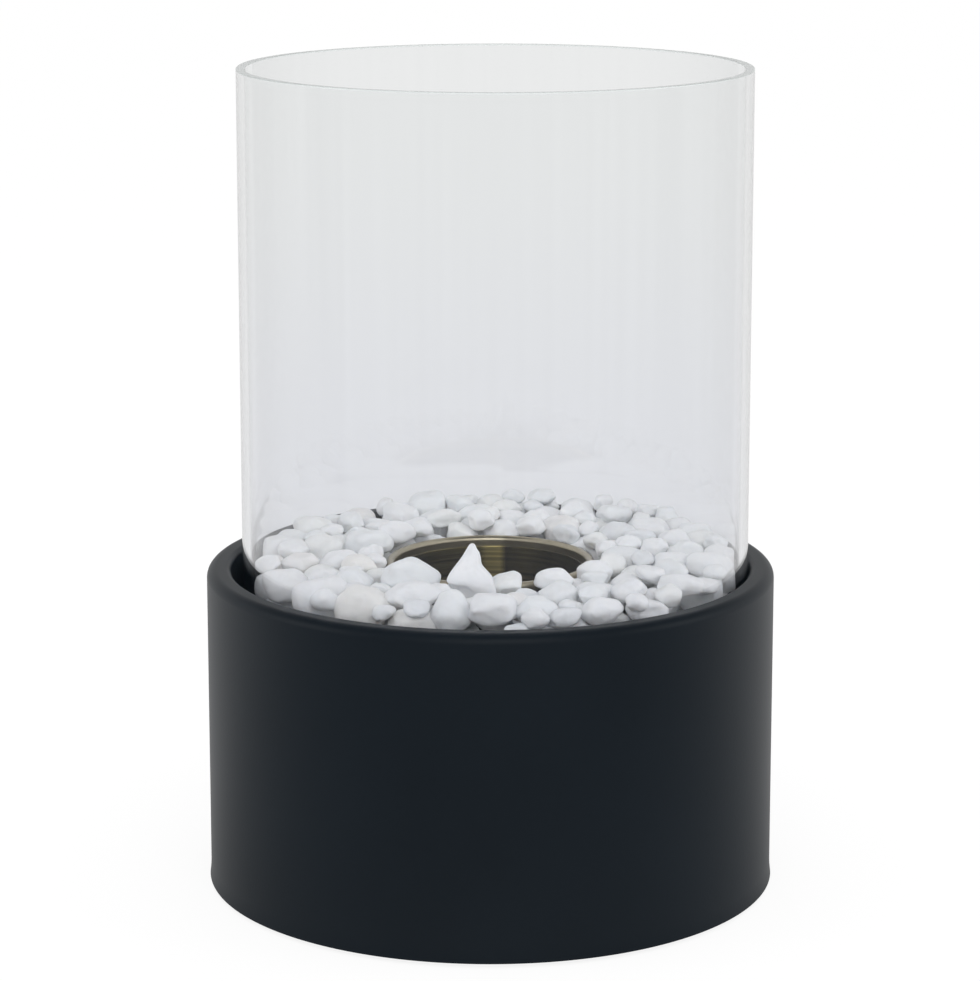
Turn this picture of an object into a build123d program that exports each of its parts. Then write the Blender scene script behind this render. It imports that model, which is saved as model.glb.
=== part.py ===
from build123d import *
import math
import os

import numpy as np

# Tabletop fireplace for liquid fuel: a round painted steel base with a rolled lip, a sunk pan full of
# white pebbles, a steel burner cup in its middle and an open glass cylinder that stands on the pan.
# All sizes are in millimetres. The origin is on the table under the middle of the base, +Z is up and
# the front of the object faces -Y.

# Glass, a standard tube round which the base is made
glass_radius = 90.0
glass_sheet = 3.0
glass_length = 200.0
glass_play = 2.4  # glass to the wall of the recess when it stands in the middle
glass_offset = 1.7  # the glass stands loose and a little to the right in its recess
glass_edge = 0.5
gasket_sheet = 1.5
gasket_overlap = 0.3  # gasket past the glass, on both sides

# Base housing
base_height = 113.5  # bottom edge of the wall to the top of the lip
shell_sheet = 1.2
lip_width = 8.6  # outside of the upright wall to the wall of the recess
shoulder_radius = 3.6  # rounding between wall and lip
lip_edge_radius = 2.0  # rounding between lip and recess
flare_out = 0.45  # how far the bottom edge swells past the wall
flare_height = 6.0
foot_show = 1.5  # gap between the table and the bottom edge of the wall

# Recess and pan
recess_depth = 24.5  # top of the lip to the pan
pan_sheet = 1.0
pan_wall_gap = 0.5  # pan or floor disc to the inside of the wall
weld_gap = 0.15  # between curved faces that are welded or pressed together

# Floor disc of the base
floor_sheet = 1.2
floor_recess = 1.5  # bottom edge of the wall to the underside of the floor disc
bead_inset = 37.8  # inside of the wall to the middle of the pressed stiffening ring
bead_width = 7.0
bead_rise = 1.6

# Brackets, in fours, that carry the pan and hold the floor disc
fixings = 4
bracket_sheet = 1.5
bracket_width = 16.0
bracket_upright = 18.0
bracket_end = 5.2  # middle of a screw hole to the end of the leg that it is in
pan_screw_inset = 21.8  # inside of the wall to the screws
floor_screw_inset = 14.8
pan_fixing_turn = 45.0  # degrees from +X to the first of the four
floor_fixing_turn = 0.0

# Screws, all of one size, and their nuts
screw_radius = 2.0
screw_head_radius = 3.6
screw_head_height = 1.6
screw_head_edge = 0.7
screw_slot = (4.7, 0.9, 0.6)  # length, width and depth
screw_length = 7.0
thread_gap = 0.05
nut_across_flats = 7.0
nut_height = 2.4

# Feet
foot_radius = 9.0
foot_inset = 19.8  # inside of the wall to the middle of a foot
foot_turn = 45.0
foot_web = 1.2  # rubber between the screw head and the floor disc
foot_head_gap = 0.4  # rubber to the screw's head, all round
foot_shank_gap = 0.2
foot_edge_radius = 0.6

# Burner
cup_bore = 34.1  # inside radius of the fuel cup
cup_sheet = 0.8
cup_depth = 59.0
cup_corner = 3.0
rim_roll = 1.6  # radius of the rolled rim
rim_above_lip = 1.5
liner_drop = 3.6  # top of the rim to the top edge of the liner
liner_sheet = 0.6
liner_gap = 0.1
screen_drop = 28.0  # top of the rim to the top of the screen
screen_sheet = 0.8
screen_hole_radius = 1.3
screen_hole_pitch = 6.2
screen_rings = 4
holder_sheet = 1.0
holder_gap = 0.3  # cup to holder, all round and under the rim
holder_flange_width = 7.0
holder_below_pan = 14.0
holder_pan_gap = 0.3
wool_gap = 0.5  # fuel pad to the cup, all round

# Pebbles
stone_gap = 0.3
bottom_stones = (10.0, 12.5)  # smallest and largest half length of the big ones at the bottom
packing_stones = (6.0, 8.5)  # of those between them
top_stones = (6.0, 8.5)
small_stones = (3.8, 6.0)
stone_width_share = (0.72, 0.92)  # half width over half length, at least and at most
stone_height_share = (0.52, 0.74)
stone_tilt = 18.0
bottom_level = 18.0  # how high above the pan the lower pebbles reach
top_level = 8.0  # how high above the lip the upper pebbles reach
stone_slope = 0.015  # rise of the heap towards the back
stone_sectors = 12
stone_seed = 7
grid_step = 0.5  # of the height map on which the pebbles are laid
lower_tries, upper_tries = 300, 400  # places tried for each pebble
lower_misses, upper_misses = 10, 40  # pebbles that found no place before a filling ends

# Radii and heights that follow from the sizes above
opening_radius = glass_radius + glass_play  # wall of the recess
base_radius = opening_radius + lip_width
wall_inside = base_radius - shell_sheet
pan_screw_radius = wall_inside - pan_screw_inset
floor_screw_radius = wall_inside - floor_screw_inset
foot_circle = wall_inside - foot_inset
bead_radius = wall_inside - bead_inset
wall_bottom = foot_show
lip_top = wall_bottom + base_height
pan_top = lip_top - recess_depth
pan_bottom = pan_top - pan_sheet
floor_bottom = wall_bottom + floor_recess
floor_top = floor_bottom + floor_sheet
rim_top = lip_top + rim_above_lip
cup_bottom = rim_top - cup_depth
rim_middle = cup_bore + rim_roll
rim_radius = rim_middle + rim_roll
holder_bore = cup_bore + cup_sheet + holder_gap
holder_outside = holder_bore + holder_sheet
flange_radius = holder_outside + holder_flange_width
glass_bottom = pan_top + gasket_sheet
glass_bore = glass_radius - glass_sheet


def ring(inner, outer, bottom, top):
    """A flat ring or a tube between two radii and two heights."""
    return Pos(0, 0, bottom) * (extrude(Circle(outer), top - bottom) - extrude(Circle(inner), top - bottom))


def turned(outline):
    """A solid of revolution about Z from an outline in radius and height."""
    return revolve(Plane.XZ * make_face(outline), Axis.Z)


def around(radius, count, first_turn):
    """Places on a circle, each turned to look outwards along +X."""
    return [Rot(0, 0, first_turn + 360.0 * i / count) * Pos(radius, 0, 0) for i in range(count)]


def build_shell():
    """Painted steel wall with a soft shoulder, a flat lip and the turned-down wall of the recess."""
    top, sheet = lip_top, shell_sheet
    lip_arc_in, lip_arc_out = opening_radius + lip_edge_radius, base_radius - shoulder_radius
    edge = base_radius + flare_out
    flare_top = wall_bottom + flare_height
    diagonal = math.sqrt(0.5)

    def corner(middle_r, middle_z, radius, side):
        """Arc of the shoulder (side 1) or of the lip's inner edge (side -1)."""
        return ThreePointArc((middle_r + side * radius, middle_z),
                             (middle_r + side * radius * diagonal, middle_z + radius * diagonal),
                             (middle_r, middle_z + radius))

    shoulder_z, edge_z = top - shoulder_radius, top - lip_edge_radius
    # An arc that leaves the wall smoothly has a quarter of its swell at half its height
    swell = (base_radius + flare_out / 4, wall_bottom + flare_height / 2)
    swell_inside = (swell[0] - sheet, swell[1])
    outline = [
        Line((edge - sheet, wall_bottom), (edge, wall_bottom)),
        ThreePointArc((edge, wall_bottom), swell, (base_radius, flare_top)),
        Line((base_radius, flare_top), (base_radius, shoulder_z)),
        corner(lip_arc_out, shoulder_z, shoulder_radius, 1),
        Line((lip_arc_out, top), (lip_arc_in, top)),
        corner(lip_arc_in, edge_z, lip_edge_radius, -1),
        Line((opening_radius, edge_z), (opening_radius, pan_top)),
        Line((opening_radius, pan_top), (opening_radius + sheet, pan_top)),
        Line((opening_radius + sheet, pan_top), (opening_radius + sheet, edge_z)),
        corner(lip_arc_in, edge_z, lip_edge_radius - sheet, -1),
        Line((lip_arc_in, top - sheet), (lip_arc_out, top - sheet)),
        corner(lip_arc_out, shoulder_z, shoulder_radius - sheet, 1),
        Line((wall_inside, shoulder_z), (wall_inside, flare_top)),
        ThreePointArc((wall_inside, flare_top), swell_inside, (edge - sheet, wall_bottom)),
    ]
    return turned(outline)


def build_floor():
    """Flat bottom disc with a pressed stiffening ring, screwed up against its brackets."""
    edge = wall_inside - pan_wall_gap
    inner, outer = bead_radius - bead_width / 2, bead_radius + bead_width / 2
    slope = bead_rise
    upper = [(0, floor_top), (inner, floor_top), (inner + slope, floor_top + bead_rise),
             (outer - slope, floor_top + bead_rise), (outer, floor_top), (edge, floor_top)]
    lower = [(r, z - floor_sheet) for r, z in reversed(upper)]
    disc = turned(Polyline(*upper, *lower, close=True))
    floor_screw_spots = around(floor_screw_radius, fixings, floor_fixing_turn)
    for spot in floor_screw_spots + around(foot_circle, fixings, foot_turn):
        disc -= spot * Pos(0, 0, floor_bottom) * Cylinder(
            screw_radius + thread_gap, floor_sheet, align=(Align.CENTER, Align.CENTER, Align.MIN))
    return disc


def bracket(seat, rises, screw_circle):
    """Angle bracket welded to the wall; its leg lies on or under the height of its seat."""
    outer = wall_inside - weld_gap
    inner = screw_circle - bracket_end
    leg_low = seat if rises else seat - bracket_sheet
    leg_high = leg_low + bracket_sheet
    up_low = leg_low if rises else leg_high - bracket_upright
    up_high = up_low + bracket_upright
    leg = ring(inner, outer, leg_low, leg_high)
    upright = ring(outer - bracket_sheet, outer, up_low, up_high)
    strip = Pos(outer, 0, (up_low + up_high) / 2) * Box(2 * outer, bracket_width, bracket_upright)
    hole = Pos(screw_circle, 0, leg_low) * Cylinder(
        screw_radius + thread_gap, bracket_sheet, align=(Align.CENTER, Align.CENTER, Align.MIN))
    return (leg + upright) & strip - hole


def screw(head_seat, points_down):
    """Round-headed screw; head_seat is the height of the face under its head."""
    slot_length, slot_width, slot_depth = screw_slot
    shank = Cylinder(screw_radius, screw_length, align=(Align.CENTER, Align.CENTER, Align.MIN))
    head = Cylinder(screw_head_radius, screw_head_height, align=(Align.CENTER, Align.CENTER, Align.MAX))
    head = fillet(head.edges().sort_by(Axis.Z)[0], screw_head_edge)
    slot = Pos(0, 0, -screw_head_height) * Box(slot_length, slot_width, 2 * slot_depth)
    body = shank + head - slot
    return Pos(0, 0, head_seat) * (Rot(180, 0, 0) * body if points_down else body)


def nut(seat):
    """Hexagon nut standing on the height of its seat."""
    blank = extrude(RegularPolygon(nut_across_flats / 2, 6, major_radius=False), nut_height)
    blank -= extrude(Circle(screw_radius + thread_gap), nut_height)
    return Pos(0, 0, seat) * blank


def foot_pad():
    """Rubber foot with a sunk seat for the head of its screw."""
    pad = extrude(Circle(foot_radius), floor_bottom)
    pad = fillet(pad.edges().sort_by(Axis.Z)[0], foot_edge_radius)
    seat = floor_bottom - foot_web
    pad -= extrude(Circle(screw_head_radius + foot_head_gap), seat)
    return pad - extrude(Circle(screw_radius + foot_shank_gap), floor_bottom)


def build_pan():
    """Flat steel disc under the recess, with a hole for the burner's holder and four screw holes."""
    disc = ring(holder_outside + holder_pan_gap, wall_inside - pan_wall_gap, pan_bottom, pan_top)
    for spot in around(pan_screw_radius, fixings, pan_fixing_turn):
        disc -= spot * Pos(0, 0, pan_bottom) * Cylinder(
            screw_radius + thread_gap, pan_sheet, align=(Align.CENTER, Align.CENTER, Align.MIN))
    return disc


def build_holder():
    """Steel sleeve welded to the pan, which keeps the pebbles off the cup and carries its rim."""
    sleeve_top = rim_top - 2 * rim_roll - holder_gap
    sleeve = ring(holder_bore, holder_outside, pan_bottom - holder_below_pan, sleeve_top)
    return sleeve + ring(holder_bore, flange_radius, pan_top, pan_top + holder_sheet)


def build_cup():
    """Deep-drawn fuel cup with a rolled rim and a rounded bottom corner."""
    outside = cup_bore + cup_sheet
    roll_z = rim_top - rim_roll
    blank = Pos(0, 0, cup_bottom) * extrude(Circle(outside), roll_z - cup_bottom)
    blank = fillet(blank.edges().sort_by(Axis.Z)[0], cup_corner + cup_sheet)
    hollow = Pos(0, 0, cup_bottom + cup_sheet) * extrude(Circle(cup_bore), cup_depth)
    hollow = fillet(hollow.edges().sort_by(Axis.Z)[0], cup_corner)
    rim = turned(Pos(rim_middle, roll_z) * Circle(rim_roll).edge())
    return blank + rim - hollow


def build_liner():
    """Thin inner collar of the burner, whose top edge shows as a line below the rim."""
    outside = cup_bore - liner_gap
    return ring(outside - liner_sheet, outside, rim_top - screen_drop, rim_top - liner_drop)


def build_screen():
    """Perforated disc that keeps the fuel pad down."""
    holes = [(0.0, 0.0)]
    for row in range(1, screen_rings + 1):
        for spot in range(6 * row):
            turn = math.tau * spot / (6 * row)
            holes.append((row * screen_hole_pitch * math.cos(turn), row * screen_hole_pitch * math.sin(turn)))
    disc = Circle(cup_bore - liner_gap) - Locations(*holes).locations * Circle(screen_hole_radius)
    return Pos(0, 0, rim_top - screen_drop - screen_sheet) * extrude(disc, screen_sheet)


def build_wool():
    """Mineral fibre pad that soaks up the fuel, between the cup's floor and the screen."""
    low = cup_bottom + cup_sheet
    high = rim_top - screen_drop - screen_sheet
    pad = Pos(0, 0, low) * extrude(Circle(cup_bore - wool_gap), high - low)
    return fillet(pad.edges().sort_by(Axis.Z)[0], cup_corner)


def build_glass():
    """Open glass tube with ground edges."""
    tube = Pos(glass_offset, 0, 0) * ring(glass_bore, glass_radius, glass_bottom, glass_bottom + glass_length)
    return chamfer(tube.edges().filter_by(GeomType.CIRCLE), glass_edge)


def build_gasket():
    """Heat-proof ring between the pan and the foot of the glass."""
    return Pos(glass_offset, 0, 0) * ring(
        glass_bore - gasket_overlap, glass_radius + gasket_overlap, pan_top, glass_bottom)


class Heap:
    """Height map of the pan, on which pebbles are laid one by one so that none overlaps another."""

    def __init__(self):
        reach = glass_bore + abs(glass_offset) + grid_step
        self.axis = np.arange(-reach, reach + grid_step, grid_step)
        x, y = np.meshgrid(self.axis, self.axis, indexing="ij")
        from_middle = np.hypot(x, y)
        self.height = np.full(x.shape, pan_top + stone_gap)
        self.height[from_middle < flange_radius + stone_gap] += holder_sheet
        for number in range(fixings):
            turn = math.radians(pan_fixing_turn) + math.tau * number / fixings
            screw_x, screw_y = pan_screw_radius * math.cos(turn), pan_screw_radius * math.sin(turn)
            from_screw = np.hypot(x - screw_x, y - screw_y)
            self.height[from_screw < screw_head_radius + stone_gap] = pan_top + screw_head_height + stone_gap
        blocked = from_middle < rim_radius + stone_gap
        blocked |= np.hypot(x - glass_offset, y) > glass_bore - stone_gap
        self.height[blocked] = np.inf
        self.stones = []

    def shape(self, half, yaw, tilt):
        """Underside and top of one pebble, with its gap, over the cells round its middle."""
        grown = np.array(half) + stone_gap / 2
        cz, sz = math.cos(math.radians(yaw)), math.sin(math.radians(yaw))
        cx, sx = math.cos(math.radians(tilt)), math.sin(math.radians(tilt))
        about_z = np.array([[cz, -sz, 0], [sz, cz, 0], [0, 0, 1]])
        about_x = np.array([[1, 0, 0], [0, cx, -sx], [0, sx, cx]])
        turn = about_z @ about_x
        form = turn @ np.diag(1 / grown**2) @ turn.T
        cells = int(math.ceil(max(grown) / grid_step))
        span = np.arange(-cells, cells + 1) * grid_step
        x, y = np.meshgrid(span, span, indexing="ij")
        cross = form[0, 2] * x + form[1, 2] * y
        flat = form[0, 0] * x**2 + 2 * form[0, 1] * x * y + form[1, 1] * y**2 - 1
        inside = cross**2 - form[2, 2] * flat
        root = np.sqrt(np.maximum(inside, 0))
        low = np.where(inside > 0, (-cross - root) / form[2, 2], np.inf)
        high = np.where(inside > 0, (-cross + root) / form[2, 2], -np.inf)
        return cells, low, high

    def rest_height(self, i, j, cells, low):
        """Height at which a pebble's middle comes to rest over one cell of the map."""
        if min(i, j) < cells or max(i, j) + cells >= len(self.axis):
            return math.inf
        window = self.height[i - cells:i + cells + 1, j - cells:j + cells + 1]
        under = np.isfinite(low)
        return float(np.max(window[under] - low[under]))

    def lay(self, half, yaw, tilt, cells, high, i, j, z):
        """Keep a pebble and raise the map under it."""
        window = self.height[i - cells:i + cells + 1, j - cells:j + cells + 1]
        np.maximum(window, z + high, out=window, where=np.isfinite(high))
        self.stones.append((self.axis[i], self.axis[j], z, half, yaw, tilt))

    def lay_at(self, x, y, half, yaw, tilt):
        """Lay a pebble as near as it fits to a chosen place."""
        cells, low, high = self.shape(half, yaw, tilt)
        for reach in range(len(self.axis)):
            steps = max(1, 6 * reach)
            for turn in range(steps):
                bearing = math.tau * turn / steps
                i = int(round((x - self.axis[0]) / grid_step + reach * math.cos(bearing)))
                j = int(round((y - self.axis[0]) / grid_step + reach * math.sin(bearing)))
                z = self.rest_height(i, j, cells, low)
                if math.isfinite(z):
                    self.lay(half, yaw, tilt, cells, high, i, j, z)
                    return

    def fill(self, draw, sizes, level, tries, misses):
        """Drop pebbles of random size into the lowest places until none fits below the level."""
        missed = 0
        while missed < misses:
            longest = draw.uniform(*sizes)
            width, height = draw.uniform(*stone_width_share), draw.uniform(*stone_height_share)
            half = (longest, longest * width, longest * height)
            yaw, tilt = draw.uniform(0, 360), draw.uniform(-stone_tilt, stone_tilt)
            cells, low, high = self.shape(half, yaw, tilt)
            best = (math.inf, 0, 0)
            for _ in range(tries):
                i, j = draw.integers(0, len(self.axis), 2)
                z = self.rest_height(i, j, cells, low) - stone_slope * self.axis[j]
                best = min(best, (z, int(i), int(j)))
            z, i, j = best
            if z + half[2] > level:
                missed += 1
                continue
            z += stone_slope * self.axis[j]
            self.lay(half, yaw, tilt, cells, high, i, j, z)


# Pebbles that stand out, laid by hand on top of the others:
# x, y, then half length, half width and half height, then the turn about Z and the tilt
chosen_stones = [
    (-27, -74, 8.0, 7.0, 5.5, 0, 8),
    (-74, -28, 6.4, 6.0, 6.0, 30, 0),
    (-60, -46, 9.7, 9.0, 8.2, 20, 4),
    (-42, -62, 8.6, 8.2, 8.4, -15, 0),
    (-13, -74, 6.6, 6.2, 7.0, 0, -6),
    (1, -74, 7.6, 7.2, 8.0, 5, 0),
    (28, -73, 6.4, 5.6, 5.2, -20, 12),
    (16, -66, 4.8, 4.6, 4.6, 0, 0),
    (-26, -61, 8.8, 6.6, 4.2, 10, 0),
    (-27, -46, 8.0, 6.0, 5.0, -25, 0),
    (-27, -42, 9.6, 7.4, 6.2, -25, 6),
    (-8, -50, 7.0, 6.0, 5.0, 0, 0),
    (-6, -49, 7.6, 5.6, 9.0, 0, -6),
    (9, -46, 3.4, 3.4, 3.8, 0, 0),
    (13, -52, 4.2, 4.2, 4.0, 40, 0),
    (20, -46, 4.0, 4.0, 5.6, 0, -10),
    (36, -46, 9.0, 7.0, 6.2, -30, 0),
    (42, -60, 5.0, 4.6, 4.4, 0, 0),
    (56, -46, 6.4, 5.8, 5.0, 30, 0),
    (65, -44, 6.8, 5.2, 3.8, -35, 0),
    (73, -27, 7.4, 6.6, 6.4, -20, 0),
    (83, -14, 3.6, 3.6, 4.2, 0, 15),
    (70, 8, 10.0, 8.2, 7.0, 15, 0),
    (57, 22, 8.0, 6.6, 5.0, -10, 0),
    (-75, 8, 7.6, 6.6, 8.8, 0, 0),
    (-72, 32, 5.4, 5.0, 6.6, 20, 0),
    (-57, 20, 8.4, 7.2, 5.6, 0, 6),
    (-44, -12, 8.0, 5.6, 5.2, -40, 0),
    (-58, 48, 7.8, 7.0, 7.4, 30, 0),
    (-45, 62, 7.8, 6.6, 5.8, -20, 0),
    (-8, 68, 5.6, 5.0, 4.4, 0, 0),
    (6, 66, 7.4, 5.2, 4.4, 0, 0),
    (22, 74, 5.2, 4.6, 5.0, 25, 0),
    (45, 66, 5.2, 4.8, 6.4, 0, 0),
    (56, 53, 6.6, 6.0, 7.2, 10, 0),
]


def lay_stones():
    """Places of all pebbles: big ones at the bottom, the chosen ones on them, then what fits between."""
    draw = np.random.default_rng(stone_seed)
    heap = Heap()
    heap.fill(draw, bottom_stones, pan_top + bottom_level, lower_tries, lower_misses)
    heap.fill(draw, packing_stones, pan_top + bottom_level, lower_tries, lower_misses)
    for x, y, length, width, height, yaw, tilt in chosen_stones:
        heap.lay_at(x, y, (length, width, height), yaw, tilt)
    heap.fill(draw, top_stones, lip_top + top_level, upper_tries, upper_misses)
    heap.fill(draw, small_stones, lip_top + top_level, upper_tries, upper_misses)
    return heap.stones


def build_stones():
    """All pebbles, as one list of solids for each sector of the pan."""
    laid = lay_stones()
    sectors = [[] for _ in range(stone_sectors)]
    for x, y, z, half, yaw, tilt in laid:
        share = (math.atan2(y, x) % math.tau) / math.tau
        stone = Pos(x, y, z) * Rot(0, 0, yaw) * Rot(tilt, 0, 0) * scale(Sphere(1), by=half)
        sectors[int(share * stone_sectors) % stone_sectors].append(stone)
    print("pebbles:", len(laid))
    return sectors


def save(name, *solids):
    """Write one node, of one solid or of several like ones."""
    shape = solids[0] if len(solids) == 1 else Compound([s for solid in solids for s in solid.solids()])
    export_step(shape, "parts/" + name + ".step")


def main():
    os.makedirs("parts", exist_ok=True)
    save("base_shell", build_shell())
    save("base_floor", build_floor())
    save("stone_pan", build_pan())
    save("burner_holder", build_holder())
    save("burner_cup", build_cup())
    save("burner_liner", build_liner())
    save("wool_screen", build_screen())
    save("fuel_wool", build_wool())
    save("glass_gasket", build_gasket())
    save("glass_cylinder", build_glass())

    pan_bracket = bracket(pan_bottom, False, pan_screw_radius)
    floor_bracket = bracket(floor_top, True, floor_screw_radius)
    for number, spot in enumerate(around(0, fixings, pan_fixing_turn), 1):
        save("pan_bracket_" + str(number), spot * pan_bracket)
    for number, spot in enumerate(around(0, fixings, floor_fixing_turn), 1):
        save("floor_bracket_" + str(number), spot * floor_bracket)
    feet = around(foot_circle, fixings, foot_turn)
    for number, spot in enumerate(feet, 1):
        save("foot_pad_" + str(number), spot * foot_pad())

    pan_spots = around(pan_screw_radius, fixings, pan_fixing_turn)
    floor_spots = around(floor_screw_radius, fixings, floor_fixing_turn)
    save("pan_screws", *[spot * screw(pan_top, True) for spot in pan_spots])
    save("floor_screws", *[spot * screw(floor_bottom, False) for spot in floor_spots])
    save("foot_screws", *[spot * screw(floor_bottom - foot_web, False) for spot in feet])
    save("foot_nuts", *[spot * nut(floor_top) for spot in feet])

    for number, stones in enumerate(build_stones(), 1):
        save("pebbles_" + str(number), *stones)


main()
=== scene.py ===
import math
import random

import bpy
import numpy as np
from mathutils import Matrix, Vector


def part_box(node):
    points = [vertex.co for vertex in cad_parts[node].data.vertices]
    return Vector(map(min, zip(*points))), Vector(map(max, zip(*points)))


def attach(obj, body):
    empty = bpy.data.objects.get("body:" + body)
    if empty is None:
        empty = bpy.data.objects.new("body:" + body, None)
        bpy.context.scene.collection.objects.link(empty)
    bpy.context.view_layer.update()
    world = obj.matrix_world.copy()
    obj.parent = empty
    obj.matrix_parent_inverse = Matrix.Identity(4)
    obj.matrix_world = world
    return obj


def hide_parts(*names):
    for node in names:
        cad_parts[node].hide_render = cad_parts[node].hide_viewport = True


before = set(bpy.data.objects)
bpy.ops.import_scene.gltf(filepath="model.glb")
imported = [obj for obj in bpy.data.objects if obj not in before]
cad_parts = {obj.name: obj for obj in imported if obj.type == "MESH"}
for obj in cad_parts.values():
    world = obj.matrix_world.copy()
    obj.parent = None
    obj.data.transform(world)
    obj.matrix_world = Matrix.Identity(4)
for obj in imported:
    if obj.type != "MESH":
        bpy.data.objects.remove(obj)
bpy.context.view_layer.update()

bl_info = {
    "name": "Tabletop Fireplace",
    "version": (1, 0, 0),
    "blender": (4, 5, 0),
    "location": "View3D > Sidebar > Fireplace",
    "description": "Dresses the solids of a tabletop fireplace: painted base, glass, burner and pebbles",
    "category": "Add Mesh",
}

MM = 0.001

# Places and sizes that the frame gives, in metres
shell_low, shell_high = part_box("base_shell")
glass_low, glass_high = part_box("glass_cylinder")
gasket_low, gasket_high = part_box("glass_gasket")
cup_low, cup_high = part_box("burner_cup")
liner_low, liner_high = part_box("burner_liner")
wool_low, wool_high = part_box("fuel_wool")
pan_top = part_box("stone_pan")[1].z
glass_middle = ((glass_low.x + glass_high.x) / 2, 0.0)
glass_radius = (glass_high.x - glass_low.x) / 2
PEBBLES = sorted(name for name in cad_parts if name.startswith("pebbles_"))
FEET = sorted(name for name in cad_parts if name.startswith("foot_pad_"))
BRACKETS = sorted(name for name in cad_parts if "_bracket_" in name)

# The photograph's frame, for which the lens is worked out
PHOTO_SIDE = 981
SENSOR = 36.0


def length(name, description, millimetres):
    """A length that a user can change."""
    return bpy.props.FloatProperty(
        name=name, description=description, default=millimetres * MM, min=0.0, precision=5, unit="LENGTH")


def share(name, description, default, most=1.0):
    """A plain number from zero up."""
    return bpy.props.FloatProperty(name=name, description=description, default=default, min=0.0, max=most)


def hue(name, description, hex_code):
    """A colour, given as it looks on the screen."""
    return bpy.props.FloatVectorProperty(
        name=name, description=description, default=linear(hex_code)[:3], size=3, min=0.0, max=1.0,
        subtype="COLOR")


def linear(hex_code):
    """Linear colour with alpha from an sRGB hex code."""
    parts = [int(hex_code[i:i + 2], 16) / 255 for i in (0, 2, 4)]
    return tuple(c / 12.92 if c <= 0.04045 else ((c + 0.055) / 1.055) ** 2.4 for c in parts) + (1.0,)


class BaseSettings(bpy.types.PropertyGroup):
    """Painted housing."""
    sheet: length("Sheet", "Thickness of the steel", 1.2)
    lip_width: length("Lip", "Outside of the wall to the wall of the recess", 8.6)
    shoulder: length("Shoulder", "Rounding between wall and lip", 3.6)
    lip_edge: length("Lip edge", "Rounding between lip and recess", 2.0)
    flare_out: length("Flare", "How far the bottom edge swells past the wall", 0.45)
    flare_height: length("Flare height", "Height over which the wall swells", 6.0)
    cut_edge: length("Cut edge", "Rounding of the sheet's bottom edge", 0.4)
    paint: hue("Paint", "Colour of the powder coat", "131B22")
    grain: length("Grain", "Width of the dimples in the powder coat", 0.9)


class GlassSettings(bpy.types.PropertyGroup):
    """Glass cylinder and the ring that it stands on."""
    wall: length("Wall", "Thickness of the glass", 3.0)
    rounding: length("Edge", "Rounding of the ground edges", 0.5)
    tint: hue("Tint", "Colour of white light after one wall, near the top", "FDFEFE")
    low_tint: hue("Low tint", "The same near the pebbles", "F9FAFD")
    edge_tint: hue("Edge tint", "Colour of the ground edge", "E6EBEA")
    streak: length("Streak", "Width of the drawing streaks in the glass", 4.0)


class BurnerSettings(bpy.types.PropertyGroup):
    """Fuel cup with its collar, screen and pad."""
    sheet: length("Sheet", "Thickness of the cup", 0.8)
    roll: length("Roll", "Radius of the rolled rim", 1.6)
    corner: length("Corner", "Rounding inside the bottom of the cup", 3.0)
    steel: hue("Steel", "Colour of the turned steel", "B1A892")
    stained: hue("Stained", "Colour of the collar, which the flame has stained", "6E6540")
    # Real turned lines lie about 0.2 mm apart. They are drawn coarser, so that they show
    line: length("Line", "Pitch of the fine turned lines", 1.0)
    pad_swell: length("Pad swell", "Height of the tufts in the fibre pad", 0.5)


class PebbleSettings(bpy.types.PropertyGroup):
    """Tumbled marble pebbles."""
    forms: bpy.props.IntProperty(
        name="Forms", description="Number of different pebbles in view; half as many more lie under them",
        default=26, min=2)
    seed: bpy.props.IntProperty(name="Seed", description="Start of the random draws", default=11, min=0)
    flats: bpy.props.IntVectorProperty(
        name="Flats", description="Fewest and most flats of one pebble", default=(3, 7), size=2)
    clear: length("Clearance", "Pebble to glass and to the burner's rim", 0.3)
    soft: length("Soft zone", "Depth over which pebbles give way beside glass and rim", 2.0)
    fill: share("Fill", "Size of a pebble against its solid, which closes the gaps between them", 1.12, 1.2)
    lumps: share("Lumps", "Height of the lumps on a pebble of radius 1", 0.45)
    cloud: length("Cloud", "Size of the grey clouds in the marble", 7.0)
    dent: length("Dent", "Size of the shallow dents in the surface", 3.5)
    # Real pits are about 0.3 mm wide. They are drawn coarser, so that they show
    pit: length("Pit", "Size of the small pits in the surface", 1.3)


class StageSettings(bpy.types.PropertyGroup):
    """Floor, light and camera."""
    floor_radius: length("Floor", "Radius of the floor", 6000.0)
    key: share("Key", "Watts of the large lamp in front", 5.0, 100.0)
    fill: share("Fill", "Watts of each lamp at the sides", 1.6, 100.0)
    sky: share("Sky", "Light of the room on matt surfaces", 0.75)
    paper: share("Paper", "Share of the floor's white that no shadow reaches", 0.82)
    mirrored: share("Mirrored", "White of room and floor as gloss and glass show it", 0.845)
    front: share("Front", "Share of that white on the camera's side, in gloss", 0.12)
    ceiling: share("Ceiling", "Share of that white right overhead, in gloss", 0.1)
    pitch: share("Pitch", "Degrees by which the camera looks down", 10.96, 90.0)
    distance: length("Distance", "Camera to the object's axis, level", 1172.0)
    height: length("Height", "Camera over the table", 403.6)
    focal: share("Focal", "Focal length in pixels of the photograph's frame", 3374.0, 10000.0)


def settle():
    """Leave edit mode and let go of everything, so that the next operator acts on its own piece alone."""
    if bpy.context.object and bpy.context.object.mode != "OBJECT":
        bpy.ops.object.mode_set(mode="OBJECT")
    bpy.ops.object.select_all(action="DESELECT")


def pick(piece):
    """Make one piece the only one selected and the active one."""
    settle()
    piece.select_set(True)
    bpy.context.view_layer.objects.active = piece


def arc(middle, radius, first, last, steps=8):
    """Points of an arc in an outline, between two angles in degrees from the outward direction."""
    angles = [math.radians(first + (last - first) * i / steps) for i in range(steps + 1)]
    return [(middle[0] + radius * math.cos(a), middle[1] + radius * math.sin(a)) for a in angles]


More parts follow.
